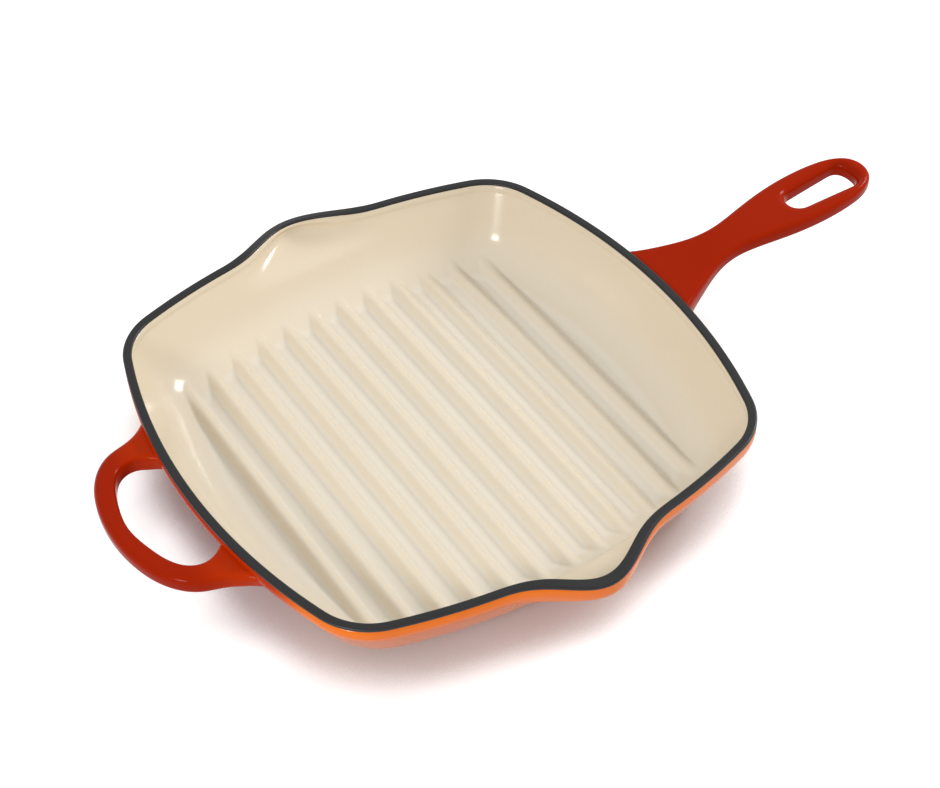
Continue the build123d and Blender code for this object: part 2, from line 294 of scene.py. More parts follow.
@dataclass(frozen=True)
class CreamEnamel:
    """Glossy pale enamel of the cooking side, browner over the ribs and up the wall, partly where the
    enamel lies thinner and partly as painted warm shade of light bouncing in the hollow.
    """

    name: str = "cream enamel"
    body: Colour = (0.780, 0.715, 0.595)
    # Browner colour of thinner enamel, which also stands for painted warm shade in the hollow
    thin_and_shaded: Colour = (0.710, 0.560, 0.370)
    roughness: float = 0.17
    gloss: float = 0.30
    coat: float = 0.12
    coat_roughness: float = 0.08
    ripple: float = 0.00004
    drift_size: float = 0.040
    grain_size: float = 0.0013
    ripple_size: float = 0.0050
    # Heights over which the enamel turns browner: partly thinner enamel, partly painted warm shade
    rib_heights: Span = (0.0046, 0.0062)
    wall_heights: Span = (0.010, 0.030)
    rib_share: float = 0.30
    wall_share: float = 0.22
    drift_share: float = 0.20
    grain_share: float = 0.10
    rough_drift: float = 0.10
    rough_grain: float = 0.03
    ripple_share: float = 0.75

    def material(self) -> bpy.types.Material:
        """Build the material.

        Returns:
            The new material.
        """
        material = bpy.data.materials.new(self.name)
        graph = Graph(material)
        _, _, z = graph.axes()
        grain = graph.noise(self.grain_size)
        drift, speck = graph.noise(self.drift_size, MANY_LAYERS) - NOISE_MIDDLE, grain - NOISE_MIDDLE
        # Painted warm shade together with thinner enamel: browner over the ribs and up the wall
        thin_and_shaded = z.rise(*self.rib_heights) * self.rib_share + z.rise(*self.wall_heights) * self.wall_share
        thin_and_shaded = thin_and_shaded + drift * self.drift_share + speck * self.grain_share
        height = graph.noise(self.ripple_size) * self.ripple_share + grain * (1.0 - self.ripple_share)
        graph.finish({
            "Base Color": graph.mix(thin_and_shaded, self.body, self.thin_and_shaded),
            "Roughness": self.roughness + drift * self.rough_drift + speck * self.rough_grain,
            "Specular IOR Level": self.gloss,
            "Coat Weight": self.coat,
            "Coat Roughness": self.coat_roughness,
            "Normal": graph.bump(height, self.ripple),
        })
        return material


@dataclass(frozen=True)
class BlackEnamel:
    """Satin black enamel of the rim, a little greyer in specks."""

    name: str = "black rim enamel"
    body: Colour = (0.0125, 0.0128, 0.0135)
    worn: Colour = (0.018, 0.018, 0.020)
    roughness: float = 0.40
    gloss: float = 0.40
    grain_size: float = 0.0009
    drift_size: float = 0.025
    speck_span: Span = (0.35, 0.75)
    speck_share: float = 0.5
    drift_share: float = 0.3
    rough_grain: float = 0.15
    grain_height: float = 0.00003

    def material(self) -> bpy.types.Material:
        """Build the material.

        Returns:
            The new material.
        """
        material = bpy.data.materials.new(self.name)
        graph = Graph(material)
        grain = graph.noise(self.grain_size, MANY_LAYERS)
        worn = grain.rise(*self.speck_span) * self.speck_share
        worn = worn + graph.noise(self.drift_size) * self.drift_share
        graph.finish({
            "Base Color": graph.mix(worn, self.body, self.worn),
            "Roughness": self.roughness + (grain - NOISE_MIDDLE) * self.rough_grain,
            "Specular IOR Level": self.gloss,
            "Normal": graph.bump(grain, self.grain_height),
        })
        return material


@dataclass(frozen=True)
class CastIron:
    """Bare grey iron with the sand's grain."""

    name: str = "cast iron"
    body: Colour = (0.085, 0.085, 0.090)
    dark: Colour = (0.045, 0.045, 0.047)
    roughness: float = 0.62
    metallic: float = 0.6
    grain_size: float = 0.0012
    rough_grain: float = 0.2
    grain_height: float = 0.0002

    def material(self) -> bpy.types.Material:
        """Build the material.

        Returns:
            The new material.
        """
        material = bpy.data.materials.new(self.name)
        graph = Graph(material)
        grain = graph.noise(self.grain_size, MANY_LAYERS)
        graph.finish({
            "Base Color": graph.mix(grain, self.dark, self.body),
            "Metallic": self.metallic,
            "Roughness": self.roughness + (grain - NOISE_MIDDLE) * self.rough_grain,
            "Normal": graph.bump(grain, self.grain_height),
        })
        return material


@dataclass(frozen=True)
class PaleFloor:
    """White surface that the pan stands on, which keeps the pan's shadow.

    Seen by the camera it is lifted to white, but for places that the pan shades from close by.
    """

    name: str = "pale floor"
    body: Colour = (0.66, 0.66, 0.66)
    lift: float = 0.60
    reach: float = 0.034
    open_span: Span = (0.44, 0.78)
    samples: int = 8

    def material(self) -> bpy.types.Material:
        """Build the material.

        Returns:
            The new material.
        """
        material = bpy.data.materials.new(self.name)
        graph = Graph(material)
        seen = graph.seen_by("Is Camera Ray", "Is Glossy Ray", "Is Transmission Ray")
        settings, values = {"samples": self.samples}, {"Distance": self.reach}
        openness = graph.add("ShaderNodeAmbientOcclusion", settings, values, "AO").rise(*self.open_span)
        diffuse = graph.add("ShaderNodeBsdfDiffuse", values={"Color": self.body})
        colour = graph.mix(seen * self.lift * openness, BLACK, WHITE)
        glow = graph.add("ShaderNodeEmission", values={"Color": colour})
        both = graph.add("ShaderNodeAddShader", values={0: diffuse, 1: glow})
        graph.add("ShaderNodeOutputMaterial", values={"Surface": both})
        return material


@dataclass(frozen=True)
class BowlShape:
    """The bowl's sizes, in millimetres and radians, and the surfaces that they give."""

    rim_height: float = 43.0
    rim_half_x: float = 130.0
    rim_half_y: float = 129.3
    bow_radius_x: float = 292.0
    bow_radius_y: float = 302.0
    corner_radius: float = 34.8
    corner_closing_share: float = 0.15
    wall: float = 4.3
    band_depth: float = 5.3
    band_bend_radius: float = 6.0
    wall_lean: float = math.radians(28.0)
    hip_radius: float = 32.0
    ground_angle: float = math.radians(80.0)
    coat: float = 0.35
    rim_coat_depth: float = 1.2
    rim_edge_radius: float = 0.9
    lip_projection: float = 14.5
    lip_half_width: float = 47.0
    lip_sharpness: float = 2.6
    lip_inside_projection_loss: float = 0.9
    lip_inside_widening: float = 5.0
    lip_inside_sharpness: float = 4.0
    lip_fade_start: float = 11.0
    lip_fade_end: float = 20.0
    lip_dip: float = 3.8
    lip_dip_inset: float = 1.3
    lip_dip_half_width: float = 60.0
    # How far outside the bow the lip's outline is looked for
    lip_search_share: float = 1.2
    lip_search_margin: float = 0.001

    @property
    def hip_depth(self) -> float:
        """Depth of the centre of the hip's arc below the rim."""
        return self.rim_height - self.hip_radius * math.sin(self.ground_angle)

    @property
    def hip_inset(self) -> float:
        """Inset of the centre of the hip's arc from the rim's outline.

        Returns:
            The inset.
        """
        bend_end_depth = self.band_depth + self.band_bend_radius * math.sin(self.wall_lean)
        bend_end_inset = self.band_bend_radius * (1.0 - math.cos(self.wall_lean))
        start_depth = self.hip_depth + self.hip_radius * math.sin(self.wall_lean)
        start_inset = bend_end_inset + (start_depth - bend_end_depth) * math.tan(self.wall_lean)
        return start_inset + self.hip_radius * math.cos(self.wall_lean)

    def slope_and_inset(self, depth: np.ndarray, under: float) -> Pair:
        """Slope and inset of the surface that lies under the outside.

        Args:
            depth: depths below the rim.
            under: distance beneath the outside.
        Returns:
            Slope from upright, and inset from the rim's outline, at each depth.
        """
        bend = self.band_bend_radius - under
        hip = self.hip_radius - under
        bend_end = self.band_depth + bend * math.sin(self.wall_lean)
        hip_start = self.hip_depth + hip * math.sin(self.wall_lean)
        bend_inset = self.band_bend_radius - bend * math.cos(self.wall_lean)
        bend_slope = np.arcsin(np.clip((depth - self.band_depth) / bend, 0.0, math.sin(self.wall_lean)))
        hip_slope = np.arcsin(np.clip((depth - self.hip_depth) / hip, math.sin(self.wall_lean), 1.0))
        in_bend = self.band_bend_radius - bend * np.cos(bend_slope)
        in_wall = bend_inset + (depth - bend_end) * math.tan(self.wall_lean)
        in_hip = self.hip_inset - hip * np.cos(hip_slope)
        inset = np.where(depth < bend_end, in_bend, np.where(depth < hip_start, in_wall, in_hip))
        in_slope = np.where(depth < hip_start, self.wall_lean, hip_slope)
        return np.where(depth < bend_end, bend_slope, in_slope), inset

    @staticmethod
    def _corner_centre(bow: Pair, back: Pair, radius: np.ndarray) -> Pair:
        """Centre of the circle that rounds the corner between two bows.

        Args:
            bow: radii of the bows of the +X and the +Y side.
            back: places of their centres along X and Y.
            radius: the corner's radius.
        Returns:
            The centre's place along X and Y.
        """
        apart = np.hypot(*back)
        along = ((bow[0] - radius) ** 2 - (bow[1] - radius) ** 2 + apart**2) / (2.0 * apart)
        across = np.sqrt((bow[0] - radius) ** 2 - along**2)
        x = back[0] - back[0] / apart * along - back[1] / apart * across
        return x, back[1] / apart * along - back[0] / apart * across

    def _to_lip(self, run: Pair, bow: np.ndarray, back: np.ndarray, left: np.ndarray,
                inside_share: float) -> np.ndarray:
        """Distance to the side that has the lip, found by halving.

        Args:
            run: each direction's parts along X and Y.
            bow: radius of the side's bow.
            back: place of the bow's centre along Y.
            left: how far the lip still stands out.
            inside_share: 0 on the wall's outside and 1 on its inside.
        Returns:
            The distance in each direction.
        """
        half_width = self.lip_half_width + inside_share * self.lip_inside_widening
        sharpness = self.lip_sharpness + inside_share * (self.lip_inside_sharpness - self.lip_sharpness)
        low = back * run[1] + np.sqrt(bow**2 - (back * run[0]) ** 2)
        high = low + left * self.lip_search_share + self.lip_search_margin
        for _ in range(HALVINGS):
            middle = (low + high) / 2.0
            x = middle * run[0]
            bump = np.cos(np.clip(x / half_width, 0.0, 1.0) * math.pi / 2.0) ** sharpness * left
            outside = middle * run[1] > np.sqrt(bow**2 - x**2) + back + bump
            high = np.where(outside, middle, high)
            low = np.where(outside, low, middle)
        return low

    def reach(self, angle: np.ndarray, depth: np.ndarray, under: float) -> np.ndarray:
        """Distance from the bowl's axis to a surface.

        Args:
            angle: directions round the axis.
            depth: depths below the rim.
            under: distance of the surface beneath the outside.
        Returns:
            The distance in each direction.
        """
        slope, inset = self.slope_and_inset(depth, under)
        half_x, half_y = self.rim_half_x - inset, self.rim_half_y - inset
        bow_x, bow_y = self.bow_radius_x - inset, self.bow_radius_y - inset
        outer_inset = inset - under * np.cos(slope)
        corner = self.corner_radius - under * np.cos(slope) - self.corner_closing_share * outer_inset
        back_x, back_y = half_x - bow_x, half_y - bow_y
        centre_x, centre_y = self._corner_centre((bow_x, bow_y), (back_x, back_y), corner)
        side_x = centre_x + (centre_x - back_x) / (bow_x - corner) * corner
        side_y = centre_y + centre_y / (bow_x - corner) * corner
        lip_x = centre_x + centre_x / (bow_y - corner) * corner
        lip_y = centre_y + (centre_y - back_y) / (bow_y - corner) * corner
        run_x, run_y = np.abs(np.cos(angle)), np.abs(np.sin(angle))
        turn = np.arctan2(run_y, run_x)
        to_side = back_x * run_x + np.sqrt(bow_x**2 - (back_x * run_y) ** 2)
        aside = centre_x * run_y - centre_y * run_x
        to_corner = centre_x * run_x + centre_y * run_y + np.sqrt(np.maximum(corner**2 - aside**2, 0.0))
        inside_share = under / self.wall
        projection = self.lip_projection - inside_share * self.lip_inside_projection_loss
        fade = depth + under * np.sin(slope) - self.lip_fade_start
        fade = np.clip(fade / (self.lip_fade_end - self.lip_fade_start), 0.0, 1.0)
        left = np.cos(fade * math.pi / 2.0) ** 2 * (projection + outer_inset)
        to_lip = self._to_lip((run_x, run_y), bow_y, back_y, left, inside_share)
        at_corner = np.where(turn < np.arctan2(lip_y, lip_x), to_corner, to_lip)
        return np.where(turn < np.arctan2(side_y, side_x), to_side, at_corner)

    def rim_top(self, x: np.ndarray, y: np.ndarray) -> np.ndarray:
        """Height of the rim's top surface, which dips at the lips.

        Args:
            x: places along X.
            y: places along Y.
        Returns:
            The heights.
        """
        start = self.rim_half_y - self.lip_dip_inset
        share = (np.abs(y) - start) / (self.rim_half_y + self.lip_projection - start)
        across = np.cos(np.clip(np.abs(x) / self.lip_dip_half_width, 0.0, 1.0) * math.pi / 2.0) ** 2
        return self.rim_height - self.lip_dip * np.clip(share, 0.0, None) * across

    def ring(self, angle: np.ndarray, depth: float, under: float) -> np.ndarray:
        """Points of a surface at one depth.

        Args:
            angle: directions round the axis.
            depth: depth below the rim.
            under: distance of the surface beneath the outside.
        Returns:
            One point for each direction.
        """
        far = self.reach(angle, np.full_like(angle, depth), under)
        height = np.full_like(angle, self.rim_height - depth)
        return np.stack([far * np.cos(angle), far * np.sin(angle), height], axis=1)

    def rim_ring(self, angle: np.ndarray, drop: float, under: float) -> np.ndarray:
        """Points of a surface near the rim, which follow the rim's dip.

        Args:
            angle: directions round the axis.
            drop: depth below the rim's own top surface.
            under: distance of the surface beneath the outside.
        Returns:
            One point for each direction.
        """
        points = self.ring(angle, 0.0, under)
        points[:, 2] = self.rim_top(points[:, 0], points[:, 1]) - drop
        return points

    def height(self, x: np.ndarray, y: np.ndarray, under: float) -> np.ndarray:
        """Height of the hollow of the bowl over a place inside it.

        Args:
            x: places along X.
            y: places along Y.
            under: distance of the surface beneath the outside.
        Returns:
            The height of the smooth surface there.
        """
        angle, far = np.arctan2(y, x), np.hypot(x, y)
        low = np.full_like(x, self.band_depth)
        high = np.full_like(x, self.rim_height - under)
        for _ in range(HALVINGS):
            middle = (low + high) / 2.0
            outside = self.reach(angle, middle, under) < far
            high = np.where(outside, middle, high)
            low = np.where(outside, low, middle)
        return self.rim_height - (low + high) / 2.0


@dataclass(frozen=True)
class RibShape:
    """Section and places of the grill ribs, in millimetres and radians."""

    count: int = 12
    pitch: float = 15.7
    height: float = 3.5
    crest_radius: float = 3.0
    flank: float = math.radians(60.0)
    root_blend: float = 3.2

    def section(self, x: np.ndarray, floor: float) -> np.ndarray:
        """Height of the ribs over a place.

        Args:
            x: places along X.
            floor: height of the floor between the ribs.
        Returns:
            Height of the nearest rib's section, which runs on below the floor.
        """
        half = (self.count - 1) / 2.0
        nearest = np.clip(np.round(x / self.pitch + half), 0, self.count - 1)
        away = np.abs(x - (nearest - half) * self.pitch)
        lean = math.pi / 2.0 - self.flank
        centre = floor + self.height - self.crest_radius
        shoulder = self.crest_radius * math.cos(lean)
        crest = centre + np.sqrt(np.maximum(self.crest_radius**2 - np.minimum(away, shoulder) ** 2, 0.0))
        flank = centre + self.crest_radius * math.sin(lean) - (away - shoulder) / math.tan(lean)
        return np.where(away < shoulder, crest, flank)

    def blended(self, smooth: np.ndarray, ribs: np.ndarray) -> np.ndarray:
        """Higher of a smooth surface and the ribs, rounded where they meet."""
        near = np.clip(self.root_blend - np.abs(smooth - ribs), 0.0, None) / self.root_blend
        return np.maximum(smooth, ribs) + near**2 * self.root_blend / 4.0


def finished_object(bm: bmesh.types.BMesh, name: str, scale: float = MM) -> bpy.types.Object:
    """Turn a bmesh into a smooth object at the origin.

    Args:
        bm: the mesh, which is freed.
        name: the object's name.
        scale: factor from the mesh's unit to metres.
    Returns:
        The linked object.
    """
    bmesh.ops.scale(bm, vec=(scale, scale, scale), verts=bm.verts)
    for face in bm.faces:
        face.smooth = True
    mesh = bpy.data.meshes.new(name)
    bm.to_mesh(mesh)
    bm.free()
    piece = bpy.data.objects.new(name, mesh)
    bpy.context.scene.collection.objects.link(piece)
    return piece


def closed_object(bm: bmesh.types.BMesh, name: str) -> bpy.types.Object:
    """Close a mesh where its first and last ring meet, and finish it.

    Args:
        bm: the mesh in millimetres, which is freed.
        name: the object's name.
    Returns:
        The linked object.
    """
    bmesh.ops.remove_doubles(bm, verts=bm.verts, dist=MERGE)
    bmesh.ops.recalc_face_normals(bm, faces=bm.faces)
    return finished_object(bm, name)


def laid_grid(bm: bmesh.types.BMesh, points: np.ndarray) -> None:
    """Add a grid of faces to an empty mesh.

    Args:
        bm: the mesh that it goes into.
        points: the grid's places, by column, row and axis.
    """
    columns, rows = points.shape[0] - 1, points.shape[1] - 1
    bmesh.ops.create_grid(bm, x_segments=columns, y_segments=rows, size=1.0)
    for vert in bm.verts:
        column = round((vert.co.x + 1.0) / 2.0 * columns)
        row = round((vert.co.y + 1.0) / 2.0 * rows)
        vert.co = points[column, row]


def dress(piece: bpy.types.Object, material: bpy.types.Material, slot: Slot, *nodes: str) -> None:
    """Give a piece its finish and put it in place of its CAD nodes.

    Args:
        piece: the finished object.
        material: its material.
        slot: the record's material slot, which is not used.
        nodes: CAD nodes that it stands for.
    """
    piece.data.materials.clear()
    piece.data.materials.append(material)
    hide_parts(*nodes)
    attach(piece, BODY)
    log.info("%s: %d faces for %s", piece.name, len(piece.data.polygons), ", ".join(nodes))


class RingSkin:
    """A skin drawn through rings whose points lie on shared spokes round the bowl's axis."""

    def __init__(self, bm: bmesh.types.BMesh, edges: Iterable[bmesh.types.BMEdge]) -> None:
        """Start from a closed loop of edges.

        Args:
            bm: the mesh that grows.
            edges: the first ring.
        """
        self.bm = bm
        self.edges = list(edges)

    @classmethod
    def circle(cls, spokes: int) -> "RingSkin":
        """Start from a circle.

        Args:
            spokes: number of its points.
        Returns:
            The skin, which is still a ring.
        """
        bm = bmesh.new()
        bmesh.ops.create_circle(bm, segments=spokes, radius=1.0)
        return cls(bm, bm.edges)

    def _verts(self) -> list[bmesh.types.BMVert]:
        """Points of the last ring."""
        return list({vert: None for edge in self.edges for vert in edge.verts})

    def move(self, ring: Callable[[np.ndarray], np.ndarray]) -> None:
        """Move the last ring.

        Args:
            ring: gives the new points from the directions of the present ones.
        """
        verts = self._verts()
        angles = np.array([math.atan2(vert.co.y, vert.co.x) for vert in verts])
        for vert, point in zip(verts, ring(angles)):
            vert.co = point

    def grow(self, ring: Callable[[np.ndarray], np.ndarray]) -> None:
        """Extrude the last ring and move what is new.

        Args:
            ring: gives the new points from the directions of the present ones.
        """
        geometry = bmesh.ops.extrude_edge_only(self.bm, edges=self.edges)["geom"]
        new = {part for part in geometry if isinstance(part, bmesh.types.BMVert)}
        edges = [part for part in geometry if isinstance(part, bmesh.types.BMEdge)]
        self.edges = [edge for edge in edges if all(vert in new for vert in edge.verts)]
        self.move(ring)


@dataclass
class Bowl:
    """The bowl's three enamel skins and its casting, in millimetres."""

    shape: BowlShape = field(default_factory=BowlShape)
    ribs: RibShape = field(default_factory=RibShape)
    spokes: int = 720
    floor_columns: int = 280
    floor_step_share: float = 0.80
    flat_rows: int = 28
    end_rows: int = 26
    floor_ring_depth: float = 30.0
    ring_step: float = 1.6
    bend_steps: int = 4
    edge_points: int = 4001
    # Shares of a quarter turn at which the rim's rounded edges have points
    enamel_edge: tuple[float, ...] = (0.0, 0.2, 0.4, 0.6, 0.8, 1.0)
    iron_edge: tuple[float, ...] = (0.0, 0.33, 0.67, 1.0)

    def _depths(self, under: float, deepest: float) -> list[float]:
        """Depths of the rings of a wall, from the deepest up to the band.

        Args:
            under: distance of the surface beneath the outside.
            deepest: depth of the first ring.
        Returns:
            The depths in order.
        """
        shape = self.shape
        bend = shape.band_bend_radius - under
        bend_end = shape.band_depth + bend * math.sin(shape.wall_lean)
        steps = max(int(round((deepest - bend_end) / self.ring_step)), 1)
        depths = [deepest + (bend_end - deepest) * step / steps for step in range(steps + 1)]
        leans = [shape.wall_lean * step / self.bend_steps for step in reversed(range(self.bend_steps))]
        return depths + [shape.band_depth + bend * math.sin(lean) for lean in leans]

    def _climb(self, skin: RingSkin, depths: Iterable[float], under: float) -> None:
        """Draw a skin on through rings of the wall.

        Args:
            skin: the skin that grows.
            depths: depths of the rings below the rim.
            under: distance of the surface beneath the outside.
        """
        for depth in depths:
            skin.grow(functools.partial(self.shape.ring, depth=depth, under=under))

    def _follow(self, skin: RingSkin, section: Line) -> None:
        """Draw a skin on along a section of the rim.

        Args:
            skin: the skin that grows.
            section: distance beneath the outside and depth below the rim's top, for each ring.
        """
        for under, drop in section:
            skin.grow(functools.partial(self.shape.rim_ring, drop=drop, under=under))

    def _rounded_edge(self, coat: float, shares: Iterable[float]) -> Line:
        """Section of the rim's rounded outer edge, from its side to its top.

        Args:
            coat: how far it lies beneath the enamel's surface.
            shares: shares of a quarter turn at which it has points.
        Returns:
            Distance beneath the outside and depth below the rim's top, for each point.
        """
        radius = self.shape.rim_edge_radius
        tight = radius - coat
        turns = [share * math.pi / 2.0 for share in shares]
        return [(radius - tight * math.cos(turn), radius - tight * math.sin(turn)) for turn in turns]

    def _both_edges(self, outer: Line) -> Line:
        """Section over the whole rim, from its outer half and the same inside."""
        return [*outer, *((self.shape.wall - under, drop) for under, drop in reversed(outer))]

    def outer_wall(self) -> bpy.types.Object:
        """Enamel outside the bowl, from just over the base up to the rim's black enamel.

        Returns:
            The linked object.
        """
        shape = self.shape
        low = shape.rim_height - shape.coat
        skin = RingSkin.circle(self.spokes)
        skin.move(functools.partial(shape.ring, depth=low, under=shape.coat))
        self._climb(skin, self._depths(0.0, low), 0.0)
        self._follow(skin, [(0.0, shape.rim_coat_depth), (shape.coat, shape.rim_coat_depth)])
        self._climb(skin, reversed(self._depths(shape.coat, low)), shape.coat)
        return closed_object(skin.bm, "outer_wall_enamel")

    def rim(self) -> bpy.types.Object:
        """Black enamel that wraps the rim.

        Returns:
            The linked object.
        """
        shape = self.shape
        coat, depth = shape.coat, shape.rim_coat_depth
        outer = [(0.0, depth), *self._rounded_edge(0.0, self.enamel_edge), (shape.wall / 3.0, 0.0)]
        under = [(coat, depth), *self._rounded_edge(coat, self.enamel_edge)]
        section = [*self._both_edges(outer), *reversed(self._both_edges(under))]
        first_under, first_drop = section[0]
        skin = RingSkin.circle(self.spokes)
        skin.move(functools.partial(shape.rim_ring, drop=first_drop, under=first_under))
        self._follow(skin, section[1:] + section[:1])
        return closed_object(skin.bm, "rim_black_enamel")

    def _floor_grid(self, bm: bmesh.types.BMesh, under: float, rib_drop: float) -> None:
        """Lay a grid over the floor and the hip round it, with its columns along the ribs.

        Args:
            bm: the mesh that it goes into.
            under: distance of the surface beneath the outside.
            rib_drop: distance of the ribs beneath the enamel's surface.
        """
        shape = self.shape
        columns, rows = self.floor_columns, self.flat_rows + 2 * self.end_rows
        column, row = np.meshgrid(np.arange(columns + 1), np.arange(rows + 1), indexing="ij")
        flat = self.floor_step_share
        ends = np.linspace(flat, 1.0, self.end_rows + 1)
        shares = np.concatenate([-ends[::-1], np.linspace(-flat, flat, self.flat_rows + 1)[1:-1], ends])
        angles = np.linspace(0.0, math.pi / 2.0, self.edge_points)
        edge = shape.ring(angles, self.floor_ring_depth, under)
        widest = edge[0, 0]
        step = 2.0 * widest / columns
        x = np.clip((column - columns / 2.0) * step, -widest + step / 2.0, widest - step / 2.0)
        y = shares[row] * np.interp(-np.abs(x), -edge[:, 0], edge[:, 1])
        # The outermost columns follow the bowed sides
        at_side = (column == 0) | (column == columns)
        x = np.where(at_side, np.sign(x) * np.interp(np.abs(y), edge[:, 1], edge[:, 0]), x)
        smooth = shape.height(x, y, under)
        z = self.ribs.blended(smooth, self.ribs.section(x, shape.wall) - rib_drop)
        on_edge = at_side | (row == 0) | (row == rows)
        z = np.where(on_edge, shape.rim_height - self.floor_ring_depth, z)
        laid_grid(bm, np.stack([x, y, z], axis=2))

    def _hollow(self, under: float, rib_drop: float) -> RingSkin:
        """Ribbed floor and inner wall up to the band.

        Args:
            under: distance of the surface beneath the outside.
            rib_drop: distance of the ribs beneath the enamel's surface.
        Returns:
            The open skin with its last ring at the top of the band.
        """
        bm = bmesh.new()
        self._floor_grid(bm, under, rib_drop)
        skin = RingSkin(bm, [edge for edge in bm.edges if edge.is_boundary])
        self._climb(skin, self._depths(under, self.floor_ring_depth)[1:], under)
        return skin

    def cooking_side(self) -> bpy.types.Object:
        """Pale enamel of the ribbed floor and the inner walls, closed against the iron.

        Returns:
            The linked object.
        """
        shape = self.shape
        skin = self._hollow(shape.wall, 0.0)
        self._follow(skin, [(shape.wall, shape.rim_coat_depth)])
        bm = skin.bm
        bmesh.ops.recalc_face_normals(bm, faces=bm.faces)
        floor = min(bm.faces, key=lambda face: face.calc_center_median().length)
        if floor.normal.z < 0.0:
            bmesh.ops.reverse_faces(bm, faces=bm.faces)
        bmesh.ops.solidify(bm, geom=bm.faces[:], thickness=shape.coat)
        bmesh.ops.recalc_face_normals(bm, faces=bm.faces)
        return finished_object(bm, "cooking_side_enamel")

    def casting(self) -> bpy.types.Object:
        """Iron between the enamels: floor, ribs, wall and the rim's core.

        Returns:
            The linked object.
        """
        shape = self.shape
        coat = shape.coat
        skin = self._hollow(shape.wall - coat, coat)
        self._follow(skin, self._both_edges(self._rounded_edge(coat, self.iron_edge))[::-1])
        self._climb(skin, reversed(self._depths(coat, shape.rim_height - coat)), coat)
        bm = skin.bm
        bmesh.ops.contextual_create(bm, geom=skin.edges)
        bmesh.ops.recalc_face_normals(bm, faces=bm.faces)
        return finished_object(bm, "bowl_iron")


def smooth_curve(points: Line, count: int = CURVE_POINTS) -> np.ndarray:
    """Natural cubic through a few points.

    Args:
        points: the points in order.
        count: number of places that are returned.
    Returns:
        Places along the curve.
    """
    knots = np.array(points, dtype=float)
    steps = np.diff(knots, axis=0)
    gaps = np.hypot(steps[:, 0], steps[:, 1])
    run = np.concatenate([[0.0], np.cumsum(gaps)])
    matrix, turn = np.eye(len(knots)), np.zeros_like(knots)
    slopes = steps / gaps[:, None]
    for row in range(1, len(knots) - 1):
        matrix[row, row - 1:row + 2] = gaps[row - 1], 2.0 * (gaps[row - 1] + gaps[row]), gaps[row]
        turn[row] = 6.0 * (slopes[row] - slopes[row - 1])
    bend = np.linalg.solve(matrix, turn)
    at = np.linspace(0.0, run[-1], count)
    span = np.clip(np.searchsorted(run, at, side="right") - 1, 0, len(gaps) - 1)
    gap = gaps[span][:, None]
    after = (at - run[span])[:, None]
    before = gap - after
    cubic = (bend[span] * before**3 + bend[span + 1] * after**3) / (6.0 * gap)
    first = (knots[span] / gap - bend[span] * gap / 6.0) * before
    return cubic + first + (knots[span + 1] / gap - bend[span + 1] * gap / 6.0) * after


def half_outline(points: Line) -> np.ndarray:
    """Smooth half of an outline that is alike either side of the X axis.

    Args:
        points: points from the root to the tip, which lies on the axis.
    Returns:
        Places along the half outline.
    """
    mirrored = [(x, -y) for x, y in reversed(points[:-1])]
    return smooth_curve([*points, *mirrored], 2 * CURVE_POINTS + 1)[:CURVE_POINTS + 1]


def eased(count: int) -> np.ndarray:
    """Shares from 0 to 1 that lie closer together towards both ends."""
    return (1.0 - np.cos(np.linspace(0.0, math.pi, count))) / 2.0


def rounding(distance: np.ndarray, radius: float) -> np.ndarray:
    """How far a rounded edge falls below its face.

    Args:
        distance: distances from the edge's outline.
        radius: radius of the rounding.
    Returns:
        The fall at each distance.
    """
    inside = np.clip(radius - distance, 0.0, radius)
    return radius - np.sqrt(radius**2 - inside**2)


